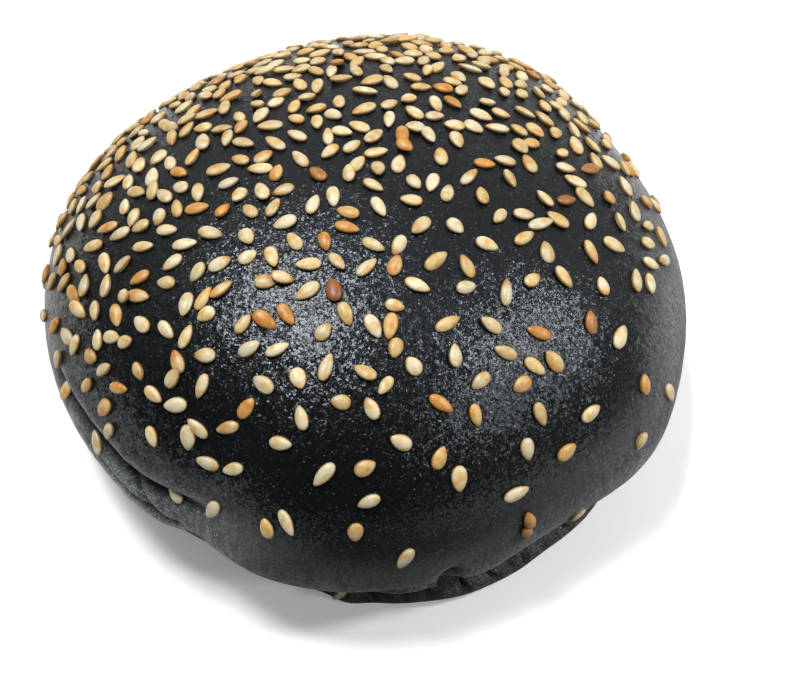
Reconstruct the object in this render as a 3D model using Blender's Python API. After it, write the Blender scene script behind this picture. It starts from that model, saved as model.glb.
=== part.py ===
"""A black burger bun with a sesame top, baked in one piece.

The crust is one turned profile whose radius and heights change around the bun. A flat sole
carries a low rounded lip, a crease runs round above the lip, the skirt of the dome hangs over
that crease, and the dome closes at the top. Folds and dents are pressed in towards the middle.
Sesame seeds are scattered over the crust by a rule, and the largest are fused to it.

Metres, +Z up. The origin is on the sole, under the middle of the bun. Turns are counted in
degrees from +X towards +Y, and the bun's front is at 270.
"""
import math
import random

import bmesh
import bpy
from mathutils import Matrix, Vector

# The crust
BELLY_RADIUS = 0.0490        # the bun at its widest
OVAL, OVAL_TURN = 0.0010, 45             # the outline is a little longer this way
FOUR_SIDED, FOUR_SIDED_TURN = 0.0008, -13  # and drawn a little to a rounded square
BELLY_BULGES = (             # turn, width in degrees and size of what stands out or is pressed in
    (329, 12, 0.0018),
    (244, 9, -0.0020),
    (226, 18, -0.0007),
    (57, 18, 0.0015),
)
HEIGHT = 0.0476              # top of the crust, without seeds
BELLY_HEIGHT = 0.0180        # how high the widest part lies, on average
BELLY_LEAN, BELLY_LEAN_TURN = 0.0020, 280  # it lies this much higher at the front, lower at the back
DOME_FULLNESS = 2.1          # 2 is a plain ellipse, more is a fuller shoulder
LIP_RADIUS = 0.0444          # the lip round the foot of the bun
LIP_BULGES = (               # turn, width in degrees and size
    (302, 30, 0.0015),
    (269, 4, 0.0012),
    (308, 6, -0.0009),
    (244, 26, -0.0024),
)
LIP_HEIGHT = 0.0036          # where the lip is widest
LIP_WAVE = 0.0003            # small irregular waves along the lip
SOLE_INSET = 0.0022          # the flat sole ends this far inside the lip
CREASE_HEIGHT = 0.0068       # the crease between the lip and the skirt
CREASE_LIFT = 0.0016         # it climbs towards the left
CREASE_WAVE = 0.0005         # and wanders up and down a little
CREASE_DEPTH = -0.0012       # behind the lip's widest line; less than 0 is a plain round foot
CREASE_CUTS = (              # turn, width in degrees, and how much deeper the crease is there
    (296, 46, 0.0036),
    (120, 34, 0.0018),
)
SKIRT_ROUNDNESS = 2.6        # 2 is a slack skirt, more hangs down rounder
SHIFT_X, SHIFT_Y = 0.0003, -0.0004  # brings the middle of the whole bun over the origin

# Folds in the side: first and last turn, height at each, depth and half width
FOLDS = (
    (202, 246, 0.0230, 0.0240, 0.0015, 0.0016),
    (213, 240, 0.0190, 0.0175, 0.0011, 0.0014),
    (226, 239, 0.0245, 0.0165, 0.0009, 0.0012),
)
FOLD_FADE = 0.6              # 1 is a fold that fades over its whole length, less has blunter ends
# Dents and swells: turn, height, size along the turn, size in height, depth (less than 0 swells)
DENTS = (
    (286.5, 0.0120, 0.0015, 0.0036, 0.0020),
    (279.0, 0.0088, 0.0056, 0.0022, -0.0012),
    (292.0, 0.0112, 0.0050, 0.0025, -0.0007),
    (240.5, 0.0120, 0.0030, 0.0050, 0.0008),
)

# The mesh of the crust: spokes round the bun, and its rings on each stretch of the profile
SPOKES = 56
POLE_JOIN = 0.000001         # the spun profile's ends are joined to one point within this
SHARP_ANGLE = 40             # edges bent more than this many degrees stay crisp
SOLE_EDGE_RINGS = (0.0, 0.5, 1.0)
LIP_RINGS = (0.55, 1.0)
SKIRT_RINGS = (0.2, 0.45, 0.7, 1.0)
DOME_RINGS = (0.06, 0.11, 0.16, 0.21, 0.27, 0.34, 0.42, 0.50, 0.58, 0.66, 0.74, 0.82, 0.90, 0.96)

# The seeds
SEED_LENGTH = 0.0034
SEED_WIDTH = 0.0021
SEED_THICKNESS = 0.0010
SEED_LENGTH_SPREAD = 0.10    # how much their sizes vary, as a share
SEED_WIDTH_SPREAD = 0.08
SEED_SPREAD_LIMIT = 2.0      # no seed lies further from the middle size than this many spreads
SEED_TAPER = 0.20            # how much narrower the tip is than the round end
SEED_SUNK = 0.20             # the share of the thickness that lies in the crust
SEED_COUNT = 590             # seeds on the whole bun
SEED_SPACING = 0.74          # their middles keep this far apart, in sides of the square that each has
SEED_PAIRS = 0.12            # this share of them may touch a neighbour
SEED_GAP = 0.0022            # least distance between the middles of two that touch
SEED_DRAW = 66               # the start of the random draws
SEED_COURSES = (2.7, 3.999)  # the stretch of the crust that they are drawn on
SLOPE_HEIGHT = 0.014         # slopes are degrees from straight up, seen from this high in the bun
SEED_EDGE = 72.0             # the slope where the seeds thin out to half
SEED_EDGE_BACK = 9.0         # they reach further down at the back, and less far at the front
SEED_EDGE_LEFT = 6.0         # and further on the left than on the right
SEED_EDGE_DIPS = (           # turn, width in degrees and degrees of slope
    (333, 20, -12.0),
)
SEED_EDGE_SOFTNESS = 3.8     # degrees of slope over which they thin out
SEED_COVER = 0.36            # the share of the crust that they cover on the dome
SEED_COVER_SWING, SEED_COVER_TURN = 0.16, 115  # more towards this turn, less on the other side
SEED_COVER_SLOPE = 42.0      # fully so from this slope outwards
FULLEST = 0.0013             # just above the largest share times radius times length of a course
COURSE_STEP = 0.001          # the step that the length of a course is measured with
HALVINGS = 24                # enough to find a course to a thousandth of a millimetre
# Seeds that lie alone or in small groups low on the front, the left and the right: turn, height,
# and where the tip points, in degrees from straight uphill
LONE_SEEDS = (
    (204, 0.0250, 180), (208, 0.0220, 20), (220, 0.0285, 170), (223, 0.0265, 180), (220, 0.0215, 50),
    (238, 0.0235, 55), (243, 0.0310, 95), (246, 0.0255, 165), (248, 0.0320, 130), (256, 0.0275, 30),
    (259, 0.0290, 215), (270, 0.0285, 180), (272, 0.0320, 110), (278, 0.0235, 145), (278, 0.0370, 55),
    (285, 0.0350, 325), (288, 0.0325, 165), (298, 0.0280, 270), (300, 0.0225, 10), (302, 0.0325, 170),
    (307, 0.0350, 180), (312, 0.0145, 110), (324, 0.0245, 150), (331, 0.0364, 282), (329, 0.0310, 330),
    (334, 0.0260, 175), (300, 0.0194, 205), (238, 0.0327, 200), (239, 0.0340, 65), (268, 0.0047, 85),
    (338, 0.0395, 300), (346, 0.0365, 285), (348, 0.0347, 102), (353, 0.0348, 192), (357, 0.0324, 39),
    (3, 0.0322, 120), (358, 0.0351, 207), (3, 0.0347, 33), (5, 0.0364, 279), (359, 0.0385, 108),
    (351, 0.0392, 177), (345, 0.0409, 132),
)
LONE_GAP = 0.0042            # the scattered seeds keep this far from them
FUSED_COUNT = 200            # the largest seeds that stand clear of each other are modelled
FUSED_GAP = 0.0040           # least distance between the middles of two modelled seeds
SEED_SEGMENTS, SEED_RINGS = 5, 4
NEAREST_POINTS = 0.00001     # points of the fused mesh that are closer become one

CRUST_COLOUR = (0.012, 0.013, 0.015)
CRUST_ROUGHNESS = 0.55


def bump(turn, centre, width):
    """1 at the centre turn, falling to 0 within about twice the width, all in degrees."""
    away = (turn - centre + 180.0) % 360.0 - 180.0
    return math.exp(-(away / width) ** 2)


def bulges(turn, places):
    return sum(size * bump(turn, centre, width) for centre, width, size in places)


def waves(turn):
    """An uneven wave of about 1 either way."""
    angle = math.radians(turn)
    return (math.sin(5 * angle) + math.sin(9 * angle + 1.0) + math.sin(14 * angle + 2.0)
            + math.sin(23 * angle + 4.0)) / 2.5


def belly_radius(turn):
    radius = BELLY_RADIUS + OVAL * math.cos(2 * math.radians(turn - OVAL_TURN))
    radius += FOUR_SIDED * math.cos(4 * math.radians(turn - FOUR_SIDED_TURN))
    return radius + bulges(turn, BELLY_BULGES)


def belly_height(turn):
    return BELLY_HEIGHT + BELLY_LEAN * math.cos(math.radians(turn - BELLY_LEAN_TURN))


def lip_radius(turn):
    return LIP_RADIUS + bulges(turn, LIP_BULGES) + LIP_WAVE * waves(turn)


def crease_depth(turn):
    return CREASE_DEPTH + bulges(turn, CREASE_CUTS)


def crease_height(turn):
    return CREASE_HEIGHT - CREASE_LIFT * math.cos(math.radians(turn)) + CREASE_WAVE * waves(turn + 50)


def profile(course, turn):
    """Radius and height of the crust. The course runs from -1 at the middle of the sole, over 0
    at the sole's edge, 1 at the lip, 2 in the crease and 3 at the belly, to 4 at the top."""
    lip = lip_radius(turn)
    sole = lip - SOLE_INSET
    depth = crease_depth(turn)
    crease = lip - depth
    belly = belly_radius(turn)
    if course <= 0:
        return sole * (course + 1), 0.0
    if course <= 1:
        angle = course * math.pi / 2
        return sole + SOLE_INSET * math.sin(angle), LIP_HEIGHT * (1 - math.cos(angle))
    if course <= 2:
        part = course - 1
        return lip - depth * part ** 2, LIP_HEIGHT + (crease_height(turn) - LIP_HEIGHT) * part
    if course <= 3:
        part = course - 2
        low, high = crease_height(turn), belly_height(turn)
        return crease + (belly - crease) * (1 - (1 - part) ** SKIRT_ROUNDNESS), low + (high - low) * part
    angle = (course - 3) * math.pi / 2
    reach = max(math.cos(angle), 0.0) ** (2 / DOME_FULLNESS)
    return belly * reach, belly_height(turn) + (HEIGHT - belly_height(turn)) * math.sin(angle)


def relief(turn, height, radius):
    """How far the crust is pressed in, by its folds and dents."""
    inward = 0.0
    for first, last, start, end, depth, width in FOLDS:
        along = (turn - first) / (last - first)
        if 0 < along < 1:
            line = start + (end - start) * along
            fade = math.sin(math.pi * along) ** FOLD_FADE
            inward += depth * fade * math.exp(-((height - line) / width) ** 2)
    for centre, level, length, tall, depth in DENTS:
        away = math.radians((turn - centre + 180.0) % 360.0 - 180.0) * radius
        inward += depth * math.exp(-(away / length) ** 2 - ((height - level) / tall) ** 2)
    return inward


def crust_point(course, turn):
    radius, height = profile(course, turn)
    if 1 < course < 4:
        radius -= relief(turn, height, radius)
    angle = math.radians(turn)
    return Vector((radius * math.cos(angle) + SHIFT_X, radius * math.sin(angle) + SHIFT_Y, height))


def crust_courses():
    """The courses of the crust's rings, from the edge of the sole to just under the top."""
    courses = list(SOLE_EDGE_RINGS)
    courses += [1 + ring for ring in LIP_RINGS]
    courses += [2 + ring for ring in SKIRT_RINGS]
    courses += [3 + ring for ring in DOME_RINGS]
    return courses


def make_crust(name):
    """Spin a plain profile, then set each point of it by its own course and turn."""
    mesh = bmesh.new()
    course_of = mesh.verts.layers.float.new("course")
    courses = crust_courses() + [4.0]
    points = []
    for course in courses:
        radius, height = profile(course, 0.0)
        points.append(mesh.verts.new((radius, 0.0, height)))
        points[-1][course_of] = course
    for low, high in zip(points, points[1:]):
        mesh.edges.new((low, high))
    bmesh.ops.spin(mesh, geom=mesh.verts[:] + mesh.edges[:], cent=(0, 0, 0), axis=(0, 0, 1),
                   angle=math.tau, steps=SPOKES, use_merge=True)
    bmesh.ops.remove_doubles(mesh, verts=mesh.verts, dist=POLE_JOIN)
    rim = [edge for edge in mesh.edges if edge.is_boundary]
    bmesh.ops.contextual_create(mesh, geom=rim)
    for vert in mesh.verts:
        turn = math.degrees(math.atan2(vert.co.y, vert.co.x)) % 360.0
        vert.co = crust_point(vert[course_of], turn)
    bmesh.ops.recalc_face_normals(mesh, faces=mesh.faces)
    data = bpy.data.meshes.new(name)
    mesh.to_mesh(data)
    mesh.free()
    crust = bpy.data.objects.new(name, data)
    bpy.context.scene.collection.objects.link(crust)
    return crust


def slope_from_top(course, turn):
    """Degrees from straight up to the point, seen from inside the bun."""
    radius, height = profile(course, turn)
    return math.degrees(math.atan2(radius, height - SLOPE_HEIGHT))


def seed_share(course, turn):
    """How much of the crust the seeds cover here: most at the back and left, little low in front."""
    slope = slope_from_top(course, turn)
    angle = math.radians(turn)
    edge = SEED_EDGE - SEED_EDGE_LEFT * math.cos(angle) + SEED_EDGE_BACK * math.sin(angle)
    edge += bulges(turn, SEED_EDGE_DIPS)
    swing = SEED_COVER_SWING * math.cos(math.radians(turn - SEED_COVER_TURN))
    inside = SEED_COVER + swing * min(slope / SEED_COVER_SLOPE, 1.0)
    return inside / (1.0 + math.exp((slope - edge) / SEED_EDGE_SOFTNESS))


def course_at(turn, height):
    """The course at a height on the side of the bun, by halving."""
    low, high = 1.0, 4.0
    for _ in range(HALVINGS):
        middle = (low + high) / 2
        if profile(middle, turn)[1] < height:
            low = middle
        else:
            high = middle
    return low


def new_seed(draw, course, turn, spin):
    long, wide = [max(-SEED_SPREAD_LIMIT, min(SEED_SPREAD_LIMIT, draw.gauss(0, 1))) for _ in range(2)]
    return {"place": crust_point(course, turn), "spin": spin,
            "length": SEED_LENGTH * (1 + SEED_LENGTH_SPREAD * long),
            "width": SEED_WIDTH * (1 + SEED_WIDTH_SPREAD * wide)}


def course_length(course, turn):
    """The crust's length uphill for one whole course, at this place."""
    step = crust_point(course + COURSE_STEP, turn) - crust_point(course, turn)
    return step.length / COURSE_STEP


def scatter_seeds():
    """The lone seeds, then the rest: even over the crust's area, thinned by the share above."""
    draw = random.Random(SEED_DRAW)
    seeds = [new_seed(draw, course_at(turn, height), turn, math.radians(spin))
             for turn, height, spin in LONE_SEEDS]
    while len(seeds) < SEED_COUNT:
        course, turn = draw.uniform(*SEED_COURSES), draw.uniform(0.0, 360.0)
        spin, keep = draw.uniform(0.0, math.tau), draw.random()
        area = profile(course, turn)[0] * course_length(course, turn)
        share = seed_share(course, turn)
        if keep > share * area / FULLEST:
            continue
        room = math.sqrt(math.pi / 4 * SEED_LENGTH * SEED_WIDTH / share)
        gap = SEED_GAP if draw.random() < SEED_PAIRS else SEED_SPACING * room
        place = crust_point(course, turn)
        gaps = [(place - seed["place"]).length for seed in seeds]
        if min(gaps[:len(LONE_SEEDS)]) > LONE_GAP and min(gaps) > gap:
            seeds.append(new_seed(draw, course, turn, spin))
    return seeds


def fused_seeds():
    """The largest seeds first, each clear of those before it."""
    chosen = []
    for seed in sorted(scatter_seeds(), key=lambda seed: -seed["length"]):
        if all((seed["place"] - other["place"]).length > FUSED_GAP for other in chosen):
            chosen.append(seed)
    return chosen[:FUSED_COUNT]


def make_seed(name, seed, crust):
    """A flat drop: a ball with its poles at both ends, narrowed towards the tip."""
    mesh = bmesh.new()
    bmesh.ops.create_uvsphere(mesh, u_segments=SEED_SEGMENTS, v_segments=SEED_RINGS, radius=1.0)
    bmesh.ops.rotate(mesh, verts=mesh.verts, cent=(0, 0, 0), matrix=Matrix.Rotation(math.pi / 2, 3, "Y"))
    for vert in mesh.verts:  # x runs from -1 at the round end to 1 at the tip
        taper = 1.0 - SEED_TAPER * vert.co.x
        vert.co.x *= seed["length"] / 2
        vert.co.y *= seed["width"] / 2 * taper
        vert.co.z *= SEED_THICKNESS / 2 * taper
    _, place, up, _ = crust.closest_point_on_mesh(seed["place"])
    uphill = (Vector((0, 0, 1)) - up * up.z).normalized()
    along = Matrix.Rotation(seed["spin"], 3, up) @ uphill
    across = up.cross(along)
    frame = Matrix((along, across, up)).transposed().to_4x4()
    frame.translation = place + up * SEED_THICKNESS * (0.5 - SEED_SUNK)
    bmesh.ops.transform(mesh, matrix=frame, verts=mesh.verts)
    data = bpy.data.meshes.new(name)
    mesh.to_mesh(data)
    mesh.free()
    return bpy.data.objects.new(name, data)


def fuse(crust, seeds):
    """One union of the crust with all its seeds."""
    group = bpy.data.collections.new("seeds")
    bpy.context.scene.collection.children.link(group)
    for number, seed in enumerate(seeds):
        group.objects.link(make_seed("seed_%03d" % number, seed, crust))
    union = crust.modifiers.new("union", "BOOLEAN")
    union.operation = "UNION"
    union.solver = "EXACT"
    union.operand_type = "COLLECTION"
    union.collection = group
    evaluated = crust.evaluated_get(bpy.context.evaluated_depsgraph_get())
    fused = bpy.data.meshes.new_from_object(evaluated)
    crust.modifiers.clear()
    crust.data = fused
    for item in list(group.objects):
        bpy.data.objects.remove(item)
    bpy.data.collections.remove(group)


def clean(data):
    """Join points that the union left closer than a hundredth of a millimetre."""
    mesh = bmesh.new()
    mesh.from_mesh(data)
    above_sole = [face for face in mesh.faces if face.calc_center_median().z > NEAREST_POINTS]
    bmesh.ops.triangulate(mesh, faces=above_sole)
    bmesh.ops.remove_doubles(mesh, verts=mesh.verts, dist=NEAREST_POINTS)
    mesh.to_mesh(data)
    mesh.free()


def crust_material():
    """Black crust, coloured through and dull from baking."""
    material = bpy.data.materials.new("black_crust")
    material.use_nodes = True
    shader = material.node_tree.nodes["Principled BSDF"]
    shader.inputs["Base Color"].default_value = (*CRUST_COLOUR, 1.0)
    shader.inputs["Roughness"].default_value = CRUST_ROUGHNESS
    shader.inputs["Metallic"].default_value = 0.0
    return material


def main():
    for item in list(bpy.data.objects):
        bpy.data.objects.remove(item)
    bun = make_crust("sesame_bun")
    fuse(bun, fused_seeds())
    clean(bun.data)
    bun.data.materials.clear()
    bun.data.materials.append(crust_material())
    bun.data.shade_smooth()
    bun.data.set_sharp_from_angle(angle=math.radians(SHARP_ANGLE))


main()
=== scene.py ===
import math
import random

import bmesh
import bpy
from mathutils import Matrix, Vector, noise
from mathutils.bvhtree import BVHTree


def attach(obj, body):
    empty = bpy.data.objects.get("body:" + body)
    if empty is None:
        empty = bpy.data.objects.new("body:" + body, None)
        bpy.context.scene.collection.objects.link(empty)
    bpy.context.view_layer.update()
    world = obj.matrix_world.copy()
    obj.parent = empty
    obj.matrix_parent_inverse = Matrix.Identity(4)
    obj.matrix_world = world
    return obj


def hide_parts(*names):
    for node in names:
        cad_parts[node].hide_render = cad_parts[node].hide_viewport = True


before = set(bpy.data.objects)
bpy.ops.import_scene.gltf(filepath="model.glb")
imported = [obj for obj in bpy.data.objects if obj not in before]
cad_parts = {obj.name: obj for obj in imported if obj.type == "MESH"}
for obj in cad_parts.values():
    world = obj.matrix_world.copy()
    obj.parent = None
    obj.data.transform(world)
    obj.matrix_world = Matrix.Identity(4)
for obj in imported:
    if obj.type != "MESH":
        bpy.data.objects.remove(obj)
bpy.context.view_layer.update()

# A black burger bun with a sesame top. Metres, +Z up, origin on the flat sole under the middle.
# Turns are degrees from +X towards +Y, and the front of the bun is at 270.
millimetre = 0.001
tiny = 0.000001          # lengths below this count as none
print("frame loaded:", sorted(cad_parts))


# Small helpers

def hexColour(code):
    # sRGB hex to the linear colour that a shader takes
    parts = [int(code[i:i + 2], 16) / 255 for i in (1, 3, 5)]
    return (*[p / 12.92 if p <= 0.04045 else ((p + 0.055) / 1.055) ** 2.4 for p in parts], 1.0)


def addNode(tree, kind, settings=None, inputs=None):
    # a node with its settings; an input takes a value or a link from another node's output
    node = tree.nodes.new(kind)
    for name, value in (settings or {}).items():
        setattr(node, name, value)
    for name, value in (inputs or {}).items():
        if isinstance(value, bpy.types.NodeSocket):
            tree.links.new(value, node.inputs[name])
        else:
            node.inputs[name].default_value = value
    return node


def addMath(tree, operation, *values, clamp=False):
    settings = {"operation": operation, "use_clamp": clamp}
    return addNode(tree, "ShaderNodeMath", settings, dict(enumerate(values))).outputs[0]


def addNoise(tree, place, size, detail, roughness):
    # soft patches about this many millimetres across
    return addNode(tree, "ShaderNodeTexNoise", {}, {
        "Vector": place, "Scale": 1 / (size * millimetre), "Detail": detail,
        "Roughness": roughness}).outputs["Fac"]


def addRange(tree, value, start, end, low=0.0, high=1.0, kind="LINEAR"):
    # turns start to end into low to high, and stays there beyond them
    return addNode(tree, "ShaderNodeMapRange", {"interpolation_type": kind}, {
        "Value": value, "From Min": start, "From Max": end, "To Min": low,
        "To Max": high}).outputs["Result"]


def addBlend(tree, factor, first, second):
    return addNode(tree, "ShaderNodeMix", {"data_type": "RGBA"}, {
        "Factor": factor, "A": first, "B": second}).outputs["Result"]


def readLayer(tree, name):
    return addNode(tree, "ShaderNodeAttribute", {"attribute_name": name}).outputs["Fac"]


def newMaterial(name):
    material = bpy.data.materials.new(name)
    material.use_nodes = True
    material.node_tree.nodes.clear()
    return material, material.node_tree


def addLayers(mesh, *names):
    # numbers on the mesh's points, which the materials read by name
    for name in names:
        mesh.verts.layers.float.new(name)
    return [mesh.verts.layers.float[name] for name in names]


def meshToPiece(mesh, name, material):
    data = bpy.data.meshes.new(name)
    mesh.to_mesh(data)
    mesh.free()
    data.materials.append(material)
    data.shade_smooth()
    piece = bpy.data.objects.new(name, data)
    bpy.context.scene.collection.objects.link(piece)
    return piece


def smoothStep(low, high, value):
    part = min(max((value - low) / (high - low), 0.0), 1.0)
    return part * part * (3 - 2 * part)


def bump(turn, centre, width):
    away = (turn - centre + 180.0) % 360.0 - 180.0
    return math.exp(-(away / width) ** 2)


def bulges(turn, places):
    return sum(size * bump(turn, centre, width) for centre, width, size in places)


# The form of the bun, the same as the solid's

bunForm = {
    "bellyRadius": 0.0490, "oval": 0.0010, "ovalTurn": 45, "fourSided": 0.0008, "fourSidedTurn": -13,
    # bulges: turn, width in degrees, size
    "bellyBulges": ((329, 12, 0.0018), (244, 9, -0.0020), (226, 18, -0.0007), (57, 18, 0.0015)),
    "height": 0.0476, "bellyHeight": 0.0180, "bellyLean": 0.0020, "bellyLeanTurn": 280,
    "domeFullness": 2.1,                         # 2 is a plain ellipse
    "lipRadius": 0.0444,
    "lipBulges": ((302, 30, 0.0015), (269, 4, 0.0012), (308, 6, -0.0009), (244, 26, -0.0024)),
    "lipHeight": 0.0036, "lipWave": 0.0003, "soleInset": 0.0022,
    "creaseHeight": 0.0068, "creaseLift": 0.0016, "creaseWave": 0.0005, "creaseWaveTurn": 50,
    "creaseDepth": -0.0012, "creaseCuts": ((296, 46, 0.0036), (120, 34, 0.0018)),
    # the waves that lip and crease share: how many go round and where each starts, in radians
    "waves": ((5, 0.0), (9, 1.0), (14, 2.0), (23, 4.0)), "waveSum": 2.5,
    "skirtRoundness": 2.6, "shiftX": 0.0003, "shiftY": -0.0004,
    # folds: first and last turn, height at each, depth and half width
    "folds": ((202, 246, 0.0230, 0.0240, 0.0015, 0.0016), (213, 240, 0.0190, 0.0175, 0.0011, 0.0014),
              (226, 239, 0.0245, 0.0165, 0.0009, 0.0012)),
    "foldFade": 0.6,
    # dents: turn, height, size along the turn, size in height, depth
    "dents": ((286.5, 0.0120, 0.0015, 0.0036, 0.0020), (279.0, 0.0088, 0.0056, 0.0022, -0.0012),
              (292.0, 0.0112, 0.0050, 0.0025, -0.0007), (240.5, 0.0120, 0.0030, 0.0050, 0.0008)),
}


def waves(turn):
    angle = math.radians(turn)
    return sum(math.sin(count * angle + start) for count, start in bunForm["waves"]) / bunForm["waveSum"]


def bellyRadius(turn):
    form = bunForm
    radius = form["bellyRadius"] + form["oval"] * math.cos(2 * math.radians(turn - form["ovalTurn"]))
    radius += form["fourSided"] * math.cos(4 * math.radians(turn - form["fourSidedTurn"]))
    return radius + bulges(turn, form["bellyBulges"])


def bellyHeight(turn):
    lean = math.cos(math.radians(turn - bunForm["bellyLeanTurn"]))
    return bunForm["bellyHeight"] + bunForm["bellyLean"] * lean


def lipRadius(turn):
    return bunForm["lipRadius"] + bulges(turn, bunForm["lipBulges"]) + bunForm["lipWave"] * waves(turn)


def creaseDepth(turn):
    return bunForm["creaseDepth"] + bulges(turn, bunForm["creaseCuts"])


def creaseHeight(turn):
    lift = bunForm["creaseLift"] * math.cos(math.radians(turn))
    return bunForm["creaseHeight"] - lift + bunForm["creaseWave"] * waves(turn + bunForm["creaseWaveTurn"])


def profile(course, turn):
    # radius and height; course -1 is the middle of the sole, 0 its edge, 1 the lip, 2 the crease,
    # 3 the belly and 4 the top
    form = bunForm
    lip = lipRadius(turn)
    sole = lip - form["soleInset"]
    depth = creaseDepth(turn)
    crease = lip - depth
    belly = bellyRadius(turn)
    if course <= 0:
        return sole * (course + 1), 0.0
    if course <= 1:
        angle = course * math.pi / 2
        return sole + form["soleInset"] * math.sin(angle), form["lipHeight"] * (1 - math.cos(angle))
    if course <= 2:
        part = course - 1
        rise = creaseHeight(turn) - form["lipHeight"]
        return lip - depth * part ** 2, form["lipHeight"] + rise * part
    if course <= 3:
        part = course - 2
        low, high = creaseHeight(turn), bellyHeight(turn)
        reach = 1 - (1 - part) ** form["skirtRoundness"]
        return crease + (belly - crease) * reach, low + (high - low) * part
    angle = (course - 3) * math.pi / 2
    reach = max(math.cos(angle), 0.0) ** (2 / form["domeFullness"])
    return belly * reach, bellyHeight(turn) + (form["height"] - bellyHeight(turn)) * math.sin(angle)


def foldsAt(turn):
    # the folds that cross this turn: height, depth and half width of each
    for first, last, start, end, depth, width in bunForm["folds"]:
        along = (turn - first) / (last - first)
        if 0 < along < 1:
            fade = math.sin(math.pi * along) ** bunForm["foldFade"]
            yield start + (end - start) * along, depth * fade, width


def dentDepth(dents, turn, height, radius):
    inward = 0.0
    for centre, level, length, tall, depth in dents:
        away = math.radians((turn - centre + 180.0) % 360.0 - 180.0) * radius
        inward += depth * math.exp(-(away / length) ** 2 - ((height - level) / tall) ** 2)
    return inward


def relief(turn, height, radius):
    inward = 0.0
    for line, depth, width in foldsAt(turn):
        inward += depth * math.exp(-((height - line) / width) ** 2)
    return inward + dentDepth(bunForm["dents"], turn, height, radius)


def crustPoint(course, turn):
    radius, height = profile(course, turn)
    if 1 < course < 4:
        radius -= relief(turn, height, radius)
    angle = math.radians(turn)
    return Vector((radius * math.cos(angle) + bunForm["shiftX"],
                   radius * math.sin(angle) + bunForm["shiftY"], height))


# The fine crust

fineCrust = {
    "spokes": 470,
    # rings on each stretch: sole, sole edge to lip, lip to crease, skirt, dome
    "rings": (6, 12, 14, 36, 120),
    "flatUpTo": 0.05, "unevenFrom": (0.3, 1.2),  # courses: plain sole, and skin's unevenness fading in
    "swell": 0.00016, "swellSize": 0.016,        # slow hills and hollows of the dough
    "pucker": 0.000045, "puckerSize": 0.0026,    # the skin's wrinkles from cooling
    "finePucker": 0.6, "finerBy": 2.3,           # and smaller ones on them, by share and size
    # how the dough above a fold rolls over it: share of the fold's depth, then the middle and the
    # spread of the move above the fold, in its half widths
    "rollOut": (0.45, 1.1, 0.7), "tuckIn": (0.45, -0.1, 0.35), "hangDown": (0.50, 0.7, 0.6),
    # upright grooves that divide the lip where it was squeezed under the skirt
    "groove": {
        "depth": 0.0022, "spacing": 0.0042,
        "width": 0.13, "slant": 0.25,            # shares of the spacing
        "wander": 0.9, "wanderPace": 7,          # they stray by this share, at this pace round the bun
        "waver": 0.25, "waverSize": 0.004,
        # depth as a share: everywhere, more round one turn, and uneven from groove to groove
        "least": 0.35, "deepest": (305, 40, 0.65), "uneven": 0.3, "unevenTurn": 9.0,
        "fadeIn": (0.7, 1.25), "fadeOut": (1.8, 2.1),          # courses
    },
    # the torn notch at the front, where the lip tucks under the skirt; slant is in degrees a metre
    "slit": {"turn": 286.0, "low": 0.0085, "high": 0.0158, "slant": 260.0,
             "depth": 0.0011, "width": 0.00038},
    # round the notch, in the way of the dents: its hole, the groove above the tongue of dough on its
    # left, and the small upright ridge where that tongue ends
    "nicks": ((287.0, 0.0098, 0.0013, 0.0014, 0.0010), (279.0, 0.0114, 0.0044, 0.0006, 0.0006),
              (284.4, 0.0104, 0.0006, 0.0020, -0.0007)),
}

# flour dust on the dry crust low on the side, where no egg wash ran, laid thicker where the outline is lit
# and thinner where it is in shade, so that it also paints light and shade
flourAndPaintedLight = {
    "top": 0.038, "low": 0.012,                  # heights between which it fades in
    # where its top sinks by a height, or rises where that is negative: turn, width in degrees, height
    "sinks": ((284, 42, 0.013), (222, 24, 0.006), (180, 26, 0.013), (0, 30, -0.002), (38, 20, 0.008)),
    "lowSink": 0.3,                              # the low height moves by this share of it
    "edge": 0.0014, "edgeSize": 0.009,           # how far its top wanders up and down
    # where it is thinner by a share, or thicker where that is negative; thinner at the back, thinner low
    # in front as painted shade, and thicker low on the left and the right as painted light
    "paintedLightShifts": ((285, 38, 0.54), (345, 30, -0.20), (95, 70, 0.45), (226, 30, -0.80)),
    "thickness": 0.75, "patches": 0.5, "patchSize": 0.009,
    # painted light on the ridges and painted shade in the folds, by more or less flour
    "paintedRidgeLight": 1000.0, "paintedRidgeLimits": (0.10, 1.7),            # thicker on ridges, thinner in folds
    # painted shade on the lip under the overhanging skirt, by less flour there
    "lipPaintedShade": 0.6, "lipCourses": (1.8, 2.3),    # thinner on the lip, which the skirt shelters
}

# each use looks at its own corner of the noise, so no two come out alike
noiseCorners = {
    "wander": Vector((0.0, 3.1, 0.0)), "uneven": Vector((0.0, 0.0, 8.0)),
    "pucker": Vector((9.0, 4.0, 2.0)), "patches": Vector((5.0, 5.0, 5.0)),
}


def foldRoll(turn, height):
    # the dough above a fold bulges out and hangs down over it: outward and downward moves
    moves = {"rollOut": 0.0, "tuckIn": 0.0, "hangDown": 0.0}
    for line, depth, width in foldsAt(turn):
        above = (height - line) / width
        for name in moves:
            share, middle, spread = fineCrust[name]
            moves[name] += share * depth * math.exp(-((above - middle) / spread) ** 2)
    return moves["rollOut"] - moves["tuckIn"], moves["hangDown"]


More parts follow.
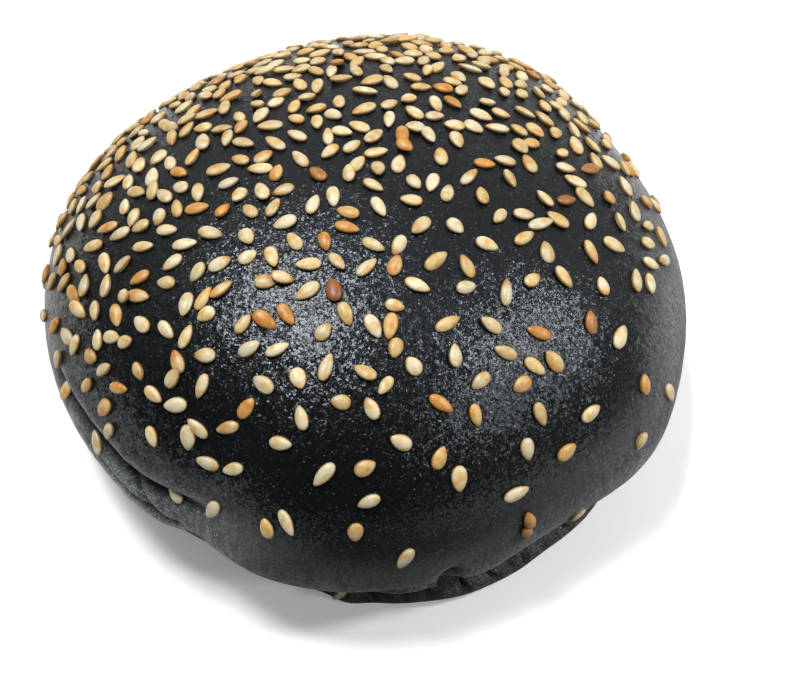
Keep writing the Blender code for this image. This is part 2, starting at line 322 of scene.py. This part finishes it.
def lipGrooves(turn, course, point):
    groove = fineCrust["groove"]
    angle = math.radians(turn)
    wander = noise.noise(Vector((angle * groove["wanderPace"], 0, 0)) + noiseCorners["wander"])
    waver = noise.noise(point / groove["waverSize"])
    phase = angle * bunForm["lipRadius"] / groove["spacing"] + wander * groove["wander"]
    phase += waver * groove["waver"] + (course - 1) * groove["slant"]
    away = (phase % 1.0 - 0.5) / groove["width"]
    uneven = noise.noise(Vector((turn / groove["unevenTurn"], 0, 0)) + noiseCorners["uneven"])
    strength = groove["least"] + bulges(turn, [groove["deepest"]]) + groove["uneven"] * uneven
    band = smoothStep(*groove["fadeIn"], course) * (1 - smoothStep(*groove["fadeOut"], course))
    return groove["depth"] * strength * band * math.exp(-away ** 2)


def slitDepth(turn, height, radius):
    slit = fineCrust["slit"]
    middle = slit["turn"] + (height - slit["low"]) * slit["slant"]
    away = math.radians(turn - middle) * radius
    along = (height - slit["low"]) / (slit["high"] - slit["low"])
    if not 0 < along < 1:
        return 0.0
    return slit["depth"] * math.sin(math.pi * along) * math.exp(-(away / slit["width"]) ** 2)


def finePoint(course, turn):
    # the solid's crust with its folds rolled over, its lip grooved and its notch torn
    place = crustPoint(course, turn)
    if course <= fineCrust["flatUpTo"] or course >= 4:
        return place
    out = Vector((math.cos(math.radians(turn)), math.sin(math.radians(turn)), 0.0))
    radius = math.hypot(place.x, place.y)
    outward, downward = foldRoll(turn, place.z)
    outward -= lipGrooves(turn, course, place)
    outward -= slitDepth(turn, place.z, radius) + dentDepth(fineCrust["nicks"], turn, place.z, radius)
    return place + out * outward - Vector((0, 0, downward))


def fineLift(place, course):
    # hills, hollows and wrinkles along the crust's normal
    fine = fineCrust
    swell = noise.noise(place / fine["swellSize"]) * fine["swell"]
    pucker = noise.noise(place / fine["puckerSize"] + noiseCorners["pucker"]) * fine["pucker"]
    small = noise.noise(place / (fine["puckerSize"] / fine["finerBy"])) * fine["pucker"]
    return smoothStep(*fine["unevenFrom"], course) * (swell + pucker + small * fine["finePucker"])


def dryShare(place):
    # 0 on the egg-washed dome and 1 low on the side
    dust = flourAndPaintedLight
    sink = bulges(math.degrees(math.atan2(place.y, place.x)), dust["sinks"])
    sink += noise.noise(place / dust["edgeSize"]) * dust["edge"]
    return 1 - smoothStep(dust["low"] - sink * dust["lowSink"], dust["top"] - sink, place.z)


def flourAndLightShare(place, course, turn):
    # how much flour the dry crust carries: partly real dust and partly painted light and shade, more on
    # the lit outline and ridges and less low in front, in folds and on the lip
    dust = flourAndPaintedLight
    patches = noise.noise(place / dust["patchSize"] + noiseCorners["patches"])
    share = (dust["thickness"] + dust["patches"] * patches) * (1 - bulges(turn, dust["paintedLightShifts"]))
    ridge = foldRoll(turn, place.z)[0] - relief(turn, place.z, math.hypot(place.x, place.y))
    least, most = dust["paintedRidgeLimits"]
    share *= min(max(1 + dust["paintedRidgeLight"] * ridge, least), most)
    share *= 1 - dust["lipPaintedShade"] * (1 - smoothStep(*dust["lipCourses"], course))
    return min(max(dryShare(place) * share, 0.0), 1.0)


def ringCourses():
    courses = []
    for start, count in enumerate(fineCrust["rings"], -1):
        courses += [start + number / count for number in range(count)]
    return courses + [4.0]


def sortFaces(mesh, courseOf):
    # the spin leaves the faces in an order that differs from run to run, and a seed that sits on an
    # edge takes its tilt from the first face there, so they are put in order, ring by ring
    ringFactor = 1000.0                          # sets rings further apart than a whole turn

    def order(face):
        centre = face.calc_center_median()
        ring = max(vert[courseOf] for vert in face.verts)
        return ring * ringFactor + math.atan2(centre.y, centre.x)
    mesh.faces.sort(key=order)


def makeCrust(material):
    mesh = bmesh.new()
    courseOf, turnOf, dryOf, flourAndLightOf = addLayers(mesh, "course", "turn", "dry", "flourAndLight")
    points = []
    for course in ringCourses():
        radius, height = profile(course, 0.0)
        points.append(mesh.verts.new((radius, 0.0, height)))
        points[-1][courseOf] = course
    for low, high in zip(points, points[1:]):
        mesh.edges.new((low, high))
    bmesh.ops.spin(mesh, geom=mesh.verts[:] + mesh.edges[:], cent=(0, 0, 0), axis=(0, 0, 1),
                   angle=math.tau, steps=fineCrust["spokes"], use_merge=True)
    bmesh.ops.remove_doubles(mesh, verts=mesh.verts, dist=tiny)    # closes both poles
    sortFaces(mesh, courseOf)
    for vert in mesh.verts:
        vert[turnOf] = math.degrees(math.atan2(vert.co.y, vert.co.x)) % 360.0
        vert.co = finePoint(vert[courseOf], vert[turnOf])
    bmesh.ops.recalc_face_normals(mesh, faces=mesh.faces)
    mesh.normal_update()
    lifts = [(vert, vert.normal * fineLift(vert.co, vert[courseOf])) for vert in mesh.verts]
    for vert, lift in lifts:
        vert.co += lift
        vert[dryOf] = dryShare(vert.co)
        vert[flourAndLightOf] = flourAndLightShare(vert.co, vert[courseOf], vert[turnOf])
    for name in ("course", "turn"):              # only needed so far
        mesh.verts.layers.float.remove(mesh.verts.layers.float[name])
    return meshToPiece(mesh, "bun_crust", material)


# Where the seeds lie, by the same rule as on the solid

seedRule = {
    "length": 0.0034, "width": 0.0021, "thickness": 0.0010,
    "lengthSpread": 0.10, "widthSpread": 0.08, "spreadLimit": 2.0, "sunk": 0.20,
    "count": 590, "courses": (2.7, 3.999),
    "draw": 66,                                  # what starts the random numbers
    # room from seed to seed, as a share of an even spread; some lie close together, in pairs
    "spacing": 0.74, "pairs": 0.12, "gap": 0.0022, "loneGap": 0.0042,
    # the slope, in degrees from the top, at which they thin out
    "slopeHeight": 0.014, "edge": 72.0, "edgeBack": 9.0, "edgeLeft": 6.0,
    "edgeDips": ((333, 20, -12.0),), "edgeSoftness": 3.8,
    # the share of the crust that they cover, more at the back and less in front
    "cover": 0.36, "coverSwing": 0.16, "coverTurn": 115, "coverSlope": 42.0,
    "fullest": 0.0013,                           # no place has more cover times area than this
    "courseStep": 0.001, "halvings": 24,
    # seeds that lie alone or in small groups low on the bun: turn, height, tip from straight uphill
    "lone": (
        (204, 0.0250, 180), (208, 0.0220, 20), (220, 0.0285, 170), (223, 0.0265, 180), (220, 0.0215, 50),
        (238, 0.0235, 55), (243, 0.0310, 95), (246, 0.0255, 165), (248, 0.0320, 130), (256, 0.0275, 30),
        (259, 0.0290, 215), (270, 0.0285, 180), (272, 0.0320, 110), (278, 0.0235, 145), (278, 0.0370, 55),
        (285, 0.0350, 325), (288, 0.0325, 165), (298, 0.0280, 270), (300, 0.0225, 10), (302, 0.0325, 170),
        (307, 0.0350, 180), (312, 0.0145, 110), (324, 0.0245, 150), (331, 0.0364, 282), (329, 0.0310, 330),
        (334, 0.0260, 175), (300, 0.0194, 205), (238, 0.0327, 200), (239, 0.0340, 65), (268, 0.0047, 85),
        (338, 0.0395, 300), (346, 0.0365, 285), (348, 0.0347, 102), (353, 0.0348, 192), (357, 0.0324, 39),
        (3, 0.0322, 120), (358, 0.0351, 207), (3, 0.0347, 33), (5, 0.0364, 279), (359, 0.0385, 108),
        (351, 0.0392, 177), (345, 0.0409, 132),
    ),
}


def seedShare(course, turn):
    rule = seedRule
    radius, height = profile(course, turn)
    slope = math.degrees(math.atan2(radius, height - rule["slopeHeight"]))
    angle = math.radians(turn)
    edge = rule["edge"] - rule["edgeLeft"] * math.cos(angle) + rule["edgeBack"] * math.sin(angle)
    edge += bulges(turn, rule["edgeDips"])
    swing = rule["coverSwing"] * math.cos(math.radians(turn - rule["coverTurn"]))
    inside = rule["cover"] + swing * min(slope / rule["coverSlope"], 1.0)
    return inside / (1.0 + math.exp((slope - edge) / rule["edgeSoftness"]))


def courseAt(turn, height):
    # the course between the lip and the top where the crust has this height
    low, high = 1.0, 4.0
    for _ in range(seedRule["halvings"]):
        middle = (low + high) / 2
        if profile(middle, turn)[1] < height:
            low = middle
        else:
            high = middle
    return low


def newSeed(draw, course, turn, spin):
    limit = seedRule["spreadLimit"]
    long, wide = [max(-limit, min(limit, draw.gauss(0, 1))) for _ in range(2)]
    return {"place": crustPoint(course, turn), "spin": spin,
            "length": seedRule["length"] * (1 + seedRule["lengthSpread"] * long),
            "width": seedRule["width"] * (1 + seedRule["widthSpread"] * wide)}


def courseLength(course, turn):
    step = crustPoint(course + seedRule["courseStep"], turn) - crustPoint(course, turn)
    return step.length / seedRule["courseStep"]


def scatterSeeds():
    draw = random.Random(seedRule["draw"])
    seeds = [newSeed(draw, courseAt(turn, height), turn, math.radians(spin))
             for turn, height, spin in seedRule["lone"]]
    while len(seeds) < seedRule["count"]:
        course, turn = draw.uniform(*seedRule["courses"]), draw.uniform(0.0, 360.0)
        spin, keep = draw.uniform(0.0, math.tau), draw.random()
        area = profile(course, turn)[0] * courseLength(course, turn)
        share = seedShare(course, turn)
        if keep > share * area / seedRule["fullest"]:
            continue
        room = math.sqrt(math.pi / 4 * seedRule["length"] * seedRule["width"] / share)
        gap = seedRule["gap"] if draw.random() < seedRule["pairs"] else seedRule["spacing"] * room
        place = crustPoint(course, turn)
        gaps = [(place - seed["place"]).length for seed in seeds]
        if min(gaps[:len(seedRule["lone"])]) > seedRule["loneGap"] and min(gaps) > gap:
            seeds.append(newSeed(draw, course, turn, spin))
    return seeds


# The seeds themselves

seedLook = {
    "segments": 8, "rings": 8,
    "slim": 0.96, "taper": 0.15, "point": 0.20,  # width, narrower towards the tip, drawn to a point
    "flatTip": 0.5,                              # thinner towards the tip, as a share of narrower
    "boxy": 0.84,                                # less is a flatter face with a rounder rim
    "rock": 7.0, "pitch": 5.0,                   # degrees that a seed leans either way
    "draw": 11,                                  # what starts their random numbers
    # how a seed lies on a larger one: within this many lengths, it overlaps fully at this share of a
    # length, and is then lifted by this share of its thickness and tipped by these degrees
    "nearby": 1.2, "fullOverlap": 0.35, "lifted": 0.5, "tipped": 20.0,
    # shades from 0, cream, to 1, toasted brown: share of the seeds and range
    "shades": ((0.62, 0.00, 0.28), (0.27, 0.30, 0.48), (0.10, 0.52, 0.72), (0.01, 0.82, 0.92)),
    # shades of the seeds that stand out, most of them low in front: turn, height, shade; the cream ones
    # low in front are painted light, set pale against the dim light there
    "marked": (
        (300, 0.0225, 0.66), (300, 0.0194, 0.60), (312, 0.0145, 0.0), (268, 0.0047, 0.0),
        (329, 0.0310, 0.66), (285, 0.0350, 0.45), (278, 0.0235, 0.0), (259, 0.0456, 0.93),
        (278, 0.0370, 0.10), (288, 0.0325, 0.15), (302, 0.0325, 0.05), (298, 0.0280, 0.0),
        (272, 0.0320, 0.05), (270, 0.0285, 0.38), (334, 0.0260, 0.10), (324, 0.0245, 0.25),
        (208, 0.0220, 0.42), (220, 0.0285, 0.40), (223, 0.0265, 0.10), (220, 0.0215, 0.0),
        (238, 0.0235, 0.0), (246, 0.0255, 0.0), (243, 0.0310, 0.05), (248, 0.0320, 0.0),
        (256, 0.0275, 0.28), (259, 0.0290, 0.0), (238, 0.0327, 0.0), (239, 0.0340, 0.05),
    ),
}


def drawShade(draw):
    pick = draw.random()
    for share, low, high in seedLook["shades"]:
        if pick < share:
            return draw.uniform(low, high)
        pick -= share
    return draw.uniform(*seedLook["shades"][0][1:])


def markShades(seated):
    # gives the nearest seed to each marked place its listed shade
    for turn, height, shade in seedLook["marked"]:
        target = crustPoint(courseAt(turn, height), turn)
        nearest = min(seated, key=lambda seed: (seed["at"] - target).length)
        nearest["shade"] = shade


def reachOf(seed, towards):
    # half the seed's size in a direction along the crust, taken as an ellipse
    along = towards.dot(seed["frame"].col[0]) / (seed["length"] / 2)
    across = towards.dot(seed["frame"].col[1]) / (seed["width"] / 2)
    return 1 / max(math.hypot(along, across), 1.0)


def liftAndTip(seed, up, seated):
    # how far larger neighbours lift the seed, and the side on which they do
    lift, side = 0.0, Vector()
    for other in seated:
        apart = other["at"] - seed["at"]
        if apart.length > seedRule["length"] * seedLook["nearby"]:
            continue
        towards = (apart - up * apart.dot(up)).normalized()
        overlap = reachOf(seed, towards) + reachOf(other, -towards) - apart.length
        if overlap > 0:
            share = min(overlap / (seedLook["fullOverlap"] * seedRule["length"]), 1.0)
            lift = max(lift, share * seedLook["lifted"] * seedRule["thickness"])
            side += towards * share
    return lift, side


def seatSeeds(crust):
    # sets the seeds on the fine crust, the largest first
    tree = BVHTree.FromObject(crust, bpy.context.evaluated_depsgraph_get())
    draw = random.Random(seedLook["draw"])
    seated = []
    for seed in sorted(scatterSeeds(), key=lambda item: -item["length"]):
        seed["at"], up, _, _ = tree.find_nearest(seed["place"])
        uphill = (Vector((0, 0, 1)) - up * up.z).normalized()
        along = Matrix.Rotation(seed["spin"], 3, up) @ uphill
        seed["frame"] = Matrix((along, up.cross(along), up)).transposed()
        lift, side = liftAndTip(seed, up, seated)
        if side.length > 0:
            lean = min(side.length, 1.0) * math.radians(seedLook["tipped"])
            seed["frame"] = Matrix.Rotation(lean, 3, up.cross(-side.normalized())) @ seed["frame"]
        for axis, most in (("X", seedLook["rock"]), ("Y", seedLook["pitch"])):
            seed["frame"] = seed["frame"] @ Matrix.Rotation(math.radians(draw.gauss(0, most)), 3, axis)
        seed["centre"] = seed["at"] + up * (seedRule["thickness"] * (0.5 - seedRule["sunk"]) + lift)
        seed["shade"] = drawShade(draw)
        seed["tone"] = draw.random()
        seed["tipTone"] = draw.random() ** 2     # few seeds have a dark tip
        seated.append(seed)
    markShades(seated)
    return seated


def shapeSeed(seed):
    # a flat drop with its round end at -x and its tip at +x, then turned and set in its place
    look = seedLook
    mesh = bmesh.new()
    shadeOf, toneOf, tipOf, rimOf = addLayers(mesh, "shade", "tone", "tip", "rim")
    bmesh.ops.create_uvsphere(mesh, u_segments=look["segments"], v_segments=look["rings"], radius=1.0)
    bmesh.ops.rotate(mesh, verts=mesh.verts, cent=(0, 0, 0), matrix=Matrix.Rotation(math.pi / 2, 3, "Y"))
    for vert in mesh.verts:
        x, y, z = vert.co
        ringSize = math.hypot(y, z)
        taper = 1.0 - look["taper"] * x - look["point"] * max(x, 0.0) ** 2
        if ringSize > tiny:
            y = math.copysign(abs(y / ringSize) ** look["boxy"], y) * ringSize
            z = math.copysign(abs(z / ringSize) ** look["boxy"], z) * ringSize
        vert[shadeOf] = seed["shade"]
        vert[toneOf] = seed["tone"]
        vert[tipOf] = max(x, 0.0) ** 2 * seed["tipTone"]
        vert[rimOf] = 1 - min(abs(z), 1.0)
        vert.co = (x * seed["length"] / 2, y * seed["width"] * look["slim"] / 2 * taper,
                   z * seedRule["thickness"] / 2 * (1.0 + look["flatTip"] * (taper - 1.0)))
    place = seed["frame"].to_4x4()
    place.translation = seed["centre"]
    bmesh.ops.transform(mesh, matrix=place, verts=mesh.verts)
    return mesh


def makeSeeds(crust, material):
    mesh = bmesh.new()
    single = bpy.data.meshes.new("one_seed")
    for seed in seatSeeds(crust):
        shapeSeed(seed).to_mesh(single)
        mesh.from_mesh(single)
    bpy.data.meshes.remove(single)
    return meshToPiece(mesh, "sesame_seeds", material)


# Materials. Noise is given by its size in millimetres, its detail and its roughness.

crustLook = {
    "charcoal": "#060708", "charcoalPale": "#0c0f11",    # wheat dough blackened with plant charcoal
    "blotch": (11.0, 3.0, 0.60),
    # flour that has taken the dough's grey, also painting light and shade by how much lies where: an even
    # haze, upright streaks, specks, and stray specks that lie where there is no flour as well
    "flourWithPaintedLight": "#b9bfc0",
    "flourHaze": 0.20, "flourStreaks": 0.34, "flourSpecks": 0.85, "flourStray": 0.24,
    "streak": (0.75, 4.0, 0.65), "streakStretch": 0.16, "streakRange": (0.40, 0.66),
    "speck": (0.30, 2.0, 0.50), "speckRange": (0.55, 0.66), "strayRange": (0.69, 0.74),
    # roughness of the egg wash and of the dry crust, and how dry it is where it is fully rough
    "glossRough": 0.26, "dryRough": 0.78, "roughFrom": 0.50,
    "glint": "#eef7ff", "ior": 1.40,
    "sheen": 0.13, "sheenRough": 0.35,           # fine dust that catches light at the outline
    "grain": 0.33, "grainTilt": 0.26,            # millimetres across each facet, and how far it leans
    # the skin's coarser and finer unevenness: noise, and height in millimetres
    "dimples": (((1.4, 2.0, 0.50), 0.12), ((0.30, 2.0, 0.50), 0.05)),
    "dryRelief": 0.15, "reliefUpTo": 0.34,       # share of all that left where it is this dry
}


def makeCrustMaterial():
    # Baked bread crust: egg-washed on the dome, so it glints from each grain of its skin, and dry
    # and floury low on the side, where it looks grey and dull. The flour lies thicker on the lit outline
    # and on ridges and thinner in shade, so it also paints light and shade.
    look = crustLook
    material, tree = newMaterial("egg_washed_charcoal_crust")
    place = addNode(tree, "ShaderNodeTexCoord").outputs["Object"]
    dry, flourAndLight = readLayer(tree, "dry"), readLayer(tree, "flourAndLight")
    upright = addNode(tree, "ShaderNodeMapping", {}, {
        "Vector": place, "Scale": (1.0, 1.0, look["streakStretch"])}).outputs["Vector"]
    streak = addRange(tree, addNoise(tree, upright, *look["streak"]), *look["streakRange"],
                      kind="SMOOTHSTEP")
    speck = addNoise(tree, place, *look["speck"])
    haze = addMath(tree, "MULTIPLY_ADD", streak, look["flourStreaks"], look["flourHaze"])
    haze = addMath(tree, "MULTIPLY", haze, flourAndLight)
    specks = addMath(tree, "MULTIPLY", addRange(tree, speck, *look["speckRange"]), flourAndLight)
    stray = addRange(tree, speck, *look["strayRange"], high=look["flourStray"])
    stray = addMath(tree, "ADD", stray, haze)
    # the flour share, which also carries the painted light on the outline and the painted shade in front
    flourWithPaintedLight = addMath(tree, "MULTIPLY_ADD", specks, look["flourSpecks"], stray, clamp=True)
    dough = addBlend(tree, addNoise(tree, place, *look["blotch"]),
                     hexColour(look["charcoal"]), hexColour(look["charcoalPale"]))
    colour = addBlend(tree, flourWithPaintedLight, dough, hexColour(look["flourWithPaintedLight"]))
    rough = addRange(tree, dry, 0.0, look["roughFrom"], look["glossRough"], look["dryRough"])
    crisp = addRange(tree, dry, 0.0, look["reliefUpTo"], 1.0, look["dryRelief"])
    normal = None
    for skin, height in look["dimples"]:
        inputs = {"Height": addNoise(tree, place, *skin), "Strength": crisp,
                  "Distance": height * millimetre}
        if normal:
            inputs["Normal"] = normal
        normal = addNode(tree, "ShaderNodeBump", {}, inputs).outputs["Normal"]
    # the grains of the skin: small facets, each with its own lean
    facet = addNode(tree, "ShaderNodeTexVoronoi", {"feature": "F1"}, {
        "Vector": place, "Scale": 1 / (look["grain"] * millimetre)}).outputs["Color"]
    lean = addNode(tree, "ShaderNodeVectorMath", {"operation": "MULTIPLY_ADD"}, {
        0: facet, 1: [look["grainTilt"]] * 3, 2: [-look["grainTilt"] / 2] * 3}).outputs[0]
    lean = addNode(tree, "ShaderNodeVectorMath", {"operation": "SCALE"}, {
        0: lean, "Scale": crisp}).outputs[0]
    leaning = addNode(tree, "ShaderNodeVectorMath", {"operation": "ADD"}, {0: normal, 1: lean}).outputs[0]
    grains = addNode(tree, "ShaderNodeVectorMath", {"operation": "NORMALIZE"}, {0: leaning}).outputs[0]
    shader = addNode(tree, "ShaderNodeBsdfPrincipled", {}, {
        "Base Color": colour, "Roughness": rough, "IOR": look["ior"],
        "Specular Tint": hexColour(look["glint"]),
        "Sheen Weight": look["sheen"], "Sheen Roughness": look["sheenRough"], "Normal": grains})
    addNode(tree, "ShaderNodeOutputMaterial", {}, {"Surface": shader.outputs["BSDF"]})
    return material


sesameLook = {
    # colours by shade: cream, golden, toasted and brown
    "shades": ((0.0, "#c4bb9d"), (0.42, "#bda168"), (0.72, "#b47a32"), (1.0, "#683a28")),
    # mottled in patches: range of the noise and what it adds to the shade of a pale seed
    "mottle": (1.3, 1.0, 0.50), "mottleRange": (0.35, 0.70, -0.22, 0.44),
    # the rim colour is partly the seed's own golden brown and partly painted shade along its outline
    "rim": "#765322", "rimRange": (0.40, 1.0, 0.0, 0.85), "tip": "#825023",
    "darkest": 0.86, "lightest": 1.08,           # brightness from seed to seed
    "roughness": 0.42, "ior": 1.47,
    "grain": (0.22, 2.0, 0.50), "grainHeight": 0.02,
}


def makeSesameMaterial():
    # Hulled sesame: a matt, slightly waxy seed with a golden brown tip, and a darker rim round its outline
    # that is partly its own golden brown and partly painted shade where it meets the crust.
    look = sesameLook
    material, tree = newMaterial("hulled_sesame")
    place = addNode(tree, "ShaderNodeTexCoord").outputs["Object"]
    shade, tone, tip, rim = [readLayer(tree, name) for name in ("shade", "tone", "tip", "rim")]
    shift = addRange(tree, addNoise(tree, place, *look["mottle"]), *look["mottleRange"])
    pale = addMath(tree, "SUBTRACT", 1.0, shade)
    toast = addMath(tree, "MULTIPLY_ADD", shift, pale, shade)
    ramp = addNode(tree, "ShaderNodeValToRGB", {}, {"Fac": toast})
    stops = ramp.color_ramp.elements
    for stop, (position, code) in zip(stops, (look["shades"][0], look["shades"][-1])):
        stop.position, stop.color = position, hexColour(code)
    for position, code in look["shades"][1:-1]:
        stops.new(position).color = hexColour(code)
    rimShare = addRange(tree, rim, *look["rimRange"], kind="SMOOTHSTEP")
    rimmed = addBlend(tree, rimShare, ramp.outputs["Color"], hexColour(look["rim"]))
    tipped = addBlend(tree, tip, rimmed, hexColour(look["tip"]))
    toned = addNode(tree, "ShaderNodeHueSaturation", {}, {
        "Color": tipped, "Value": addRange(tree, tone, 0.0, 1.0, look["darkest"], look["lightest"])})
    fine = addNode(tree, "ShaderNodeBump", {}, {
        "Height": addNoise(tree, place, *look["grain"]), "Strength": 1.0,
        "Distance": look["grainHeight"] * millimetre})
    shader = addNode(tree, "ShaderNodeBsdfPrincipled", {}, {
        "Base Color": toned.outputs["Color"], "Roughness": look["roughness"], "IOR": look["ior"],
        "Normal": fine.outputs["Normal"]})
    addNode(tree, "ShaderNodeOutputMaterial", {}, {"Surface": shader.outputs["BSDF"]})
    return material


# The floor, the light and the camera

studio = {
    "floorRadius": 2.0, "floorSides": 96, "floorRough": 0.9, "floorShine": 0.2,
    # the floor glows for the camera only: painted light that lifts the bun's shadow on it
    "floorColour": "#f3f3f1", "floorGlow": 0.22, "white": "#ffffff",
    # what the floor sends up to the bun: little in front, where shade is painted into its colour, more
    # from the back and from either side
    "frontPaintedShade": "#454544", "backBounce": "#e6e6e4",
    "bounceY": (-0.105, 0.070), "bounceMiddle": 0.022, "bounceAside": (0.020, 0.065, 0.0, 0.9),
    # the sky is bright behind the bun and dim on the camera's side
    "skyTowards": (0.05, 0.96, 0.28), "skyFrom": -0.20, "skyTo": 1.0,
    "skyDim": 0.03, "skyBright": 0.72, "skySeen": "#e9e9e8",
    # lights: turn in degrees to the right of the front, elevation, distance, width, height, radiance
    "lights": {
        "key": (-99, 75, 0.75, 0.22, 0.17, 48.0),
        "side": (87, 49.5, 0.75, 0.11, 0.11, 66.0),
        "kicker": (57, 38, 0.75, 0.07, 0.10, 40.0),
    },
}


def makeFloor():
    # the camera sees it plain, with a little glow that is painted light lifting the bun's shadow on it;
    # the bun sees it dimmer in front, painted shade in its colour where a studio would be flagged off
    material, tree = newMaterial("matt_white_table")
    isSeen = addNode(tree, "ShaderNodeLightPath").outputs["Is Camera Ray"]
    place = addNode(tree, "ShaderNodeTexCoord").outputs["Object"]
    apart = addNode(tree, "ShaderNodeSeparateXYZ", {}, {0: place}).outputs
    aside = addMath(tree, "ABSOLUTE", addMath(tree, "SUBTRACT", apart["X"], studio["bounceMiddle"]))
    aside = addRange(tree, aside, *studio["bounceAside"], kind="SMOOTHSTEP")
    back = addRange(tree, apart["Y"], *studio["bounceY"], kind="SMOOTHSTEP")
    bounce = addBlend(tree, addMath(tree, "MAXIMUM", back, aside),
                      hexColour(studio["frontPaintedShade"]), hexColour(studio["backBounce"]))
    colour = addBlend(tree, isSeen, bounce, hexColour(studio["floorColour"]))
    shader = addNode(tree, "ShaderNodeBsdfPrincipled", {}, {
        "Base Color": colour, "Roughness": studio["floorRough"],
        "Specular IOR Level": studio["floorShine"], "Emission Color": hexColour(studio["white"]),
        "Emission Strength": addMath(tree, "MULTIPLY", isSeen, studio["floorGlow"])})
    addNode(tree, "ShaderNodeOutputMaterial", {}, {"Surface": shader.outputs["BSDF"]})
    mesh = bmesh.new()
    bmesh.ops.create_circle(mesh, cap_ends=True, radius=studio["floorRadius"],
                            segments=studio["floorSides"])
    floor = meshToPiece(mesh, "studio_floor", material)


def makeLights():
    for name, (turn, elevation, distance, width, height, radiance) in studio["lights"].items():
        light = bpy.data.lights.new(name, "AREA")
        light.shape = "RECTANGLE"
        light.size, light.size_y = width, height
        light.energy = radiance * width * height * math.pi    # watts that give this radiance
        lamp = bpy.data.objects.new(name, light)
        angle, tilt = math.radians(turn), math.radians(elevation)
        away = Vector((math.sin(angle) * math.cos(tilt), -math.cos(angle) * math.cos(tilt),
                       math.sin(tilt)))
        lamp.location = away * distance
        lamp.rotation_euler = away.to_track_quat("Z", "Y").to_euler()
        lamp.visible_camera = False
        bpy.context.scene.collection.objects.link(lamp)


def makeSky():
    sky = bpy.data.worlds.new("studio_sky")
    bpy.context.scene.world = sky
    sky.use_nodes = True
    tree = sky.node_tree
    tree.nodes.clear()
    direction = addNode(tree, "ShaderNodeTexCoord").outputs["Generated"]
    along = addNode(tree, "ShaderNodeVectorMath", {"operation": "DOT_PRODUCT"}, {
        0: direction, 1: Vector(studio["skyTowards"]).normalized()}).outputs["Value"]
    strength = addRange(tree, along, studio["skyFrom"], studio["skyTo"], studio["skyDim"],
                        studio["skyBright"], kind="SMOOTHSTEP")
    lit = addNode(tree, "ShaderNodeBackground", {}, {
        "Color": hexColour(studio["white"]), "Strength": strength})
    seen = addNode(tree, "ShaderNodeBackground", {}, {"Color": hexColour(studio["skySeen"])})
    isSeen = addNode(tree, "ShaderNodeLightPath").outputs["Is Camera Ray"]
    both = addNode(tree, "ShaderNodeMixShader", {}, {
        0: isSeen, 1: lit.outputs["Background"], 2: seen.outputs["Background"]})
    addNode(tree, "ShaderNodeOutputWorld", {}, {"Surface": both.outputs["Shader"]})


cameraView = {
    "elevation": 52.0, "distance": 0.235, "targetHeight": 0.020, "roll": 2.4,
    # in pixels: the photo's size, the focal length, and where the target is in the photo
    "imageWidth": 798, "imageHeight": 674, "focalPixels": 1514.0, "targetX": 363.4, "targetY": 285.6,
    "sensorWidth": 36.0,                         # millimetres
    "clipStart": 0.01,
}


def makeCamera():
    look = cameraView
    tilt = math.radians(look["elevation"])
    camera = bpy.data.cameras.new("photo_camera")
    camera.sensor_width = look["sensorWidth"]
    camera.lens = look["sensorWidth"] * look["focalPixels"] / look["imageWidth"]
    camera.shift_x = -(look["targetX"] - look["imageWidth"] / 2) / look["imageWidth"]
    camera.shift_y = (look["targetY"] - look["imageHeight"] / 2) / look["imageWidth"]
    camera.clip_start = look["clipStart"]
    holder = bpy.data.objects.new("photo_camera", camera)
    place = Vector((0, -math.cos(tilt), math.sin(tilt))) * look["distance"]
    place.z += look["targetHeight"]
    holder.matrix_world = (Matrix.Translation(place) @ Matrix.Rotation(math.pi / 2 - tilt, 4, "X")
                           @ Matrix.Rotation(math.radians(look["roll"]), 4, "Z"))
    bpy.context.scene.collection.objects.link(holder)
    bpy.context.scene.camera = holder


# Putting it together

makeCamera()
makeFloor()
makeLights()
makeSky()
bpy.context.scene.view_settings.view_transform = "Standard"
print("studio ready")

crust = makeCrust(makeCrustMaterial())
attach(crust, "root")
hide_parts("sesame_bun")
print("crust:", len(crust.data.polygons), "faces")

seeds = makeSeeds(crust, makeSesameMaterial())
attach(seeds, "root")
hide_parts("sesame_bun")
print("seeds:", len(seeds.data.polygons), "faces")
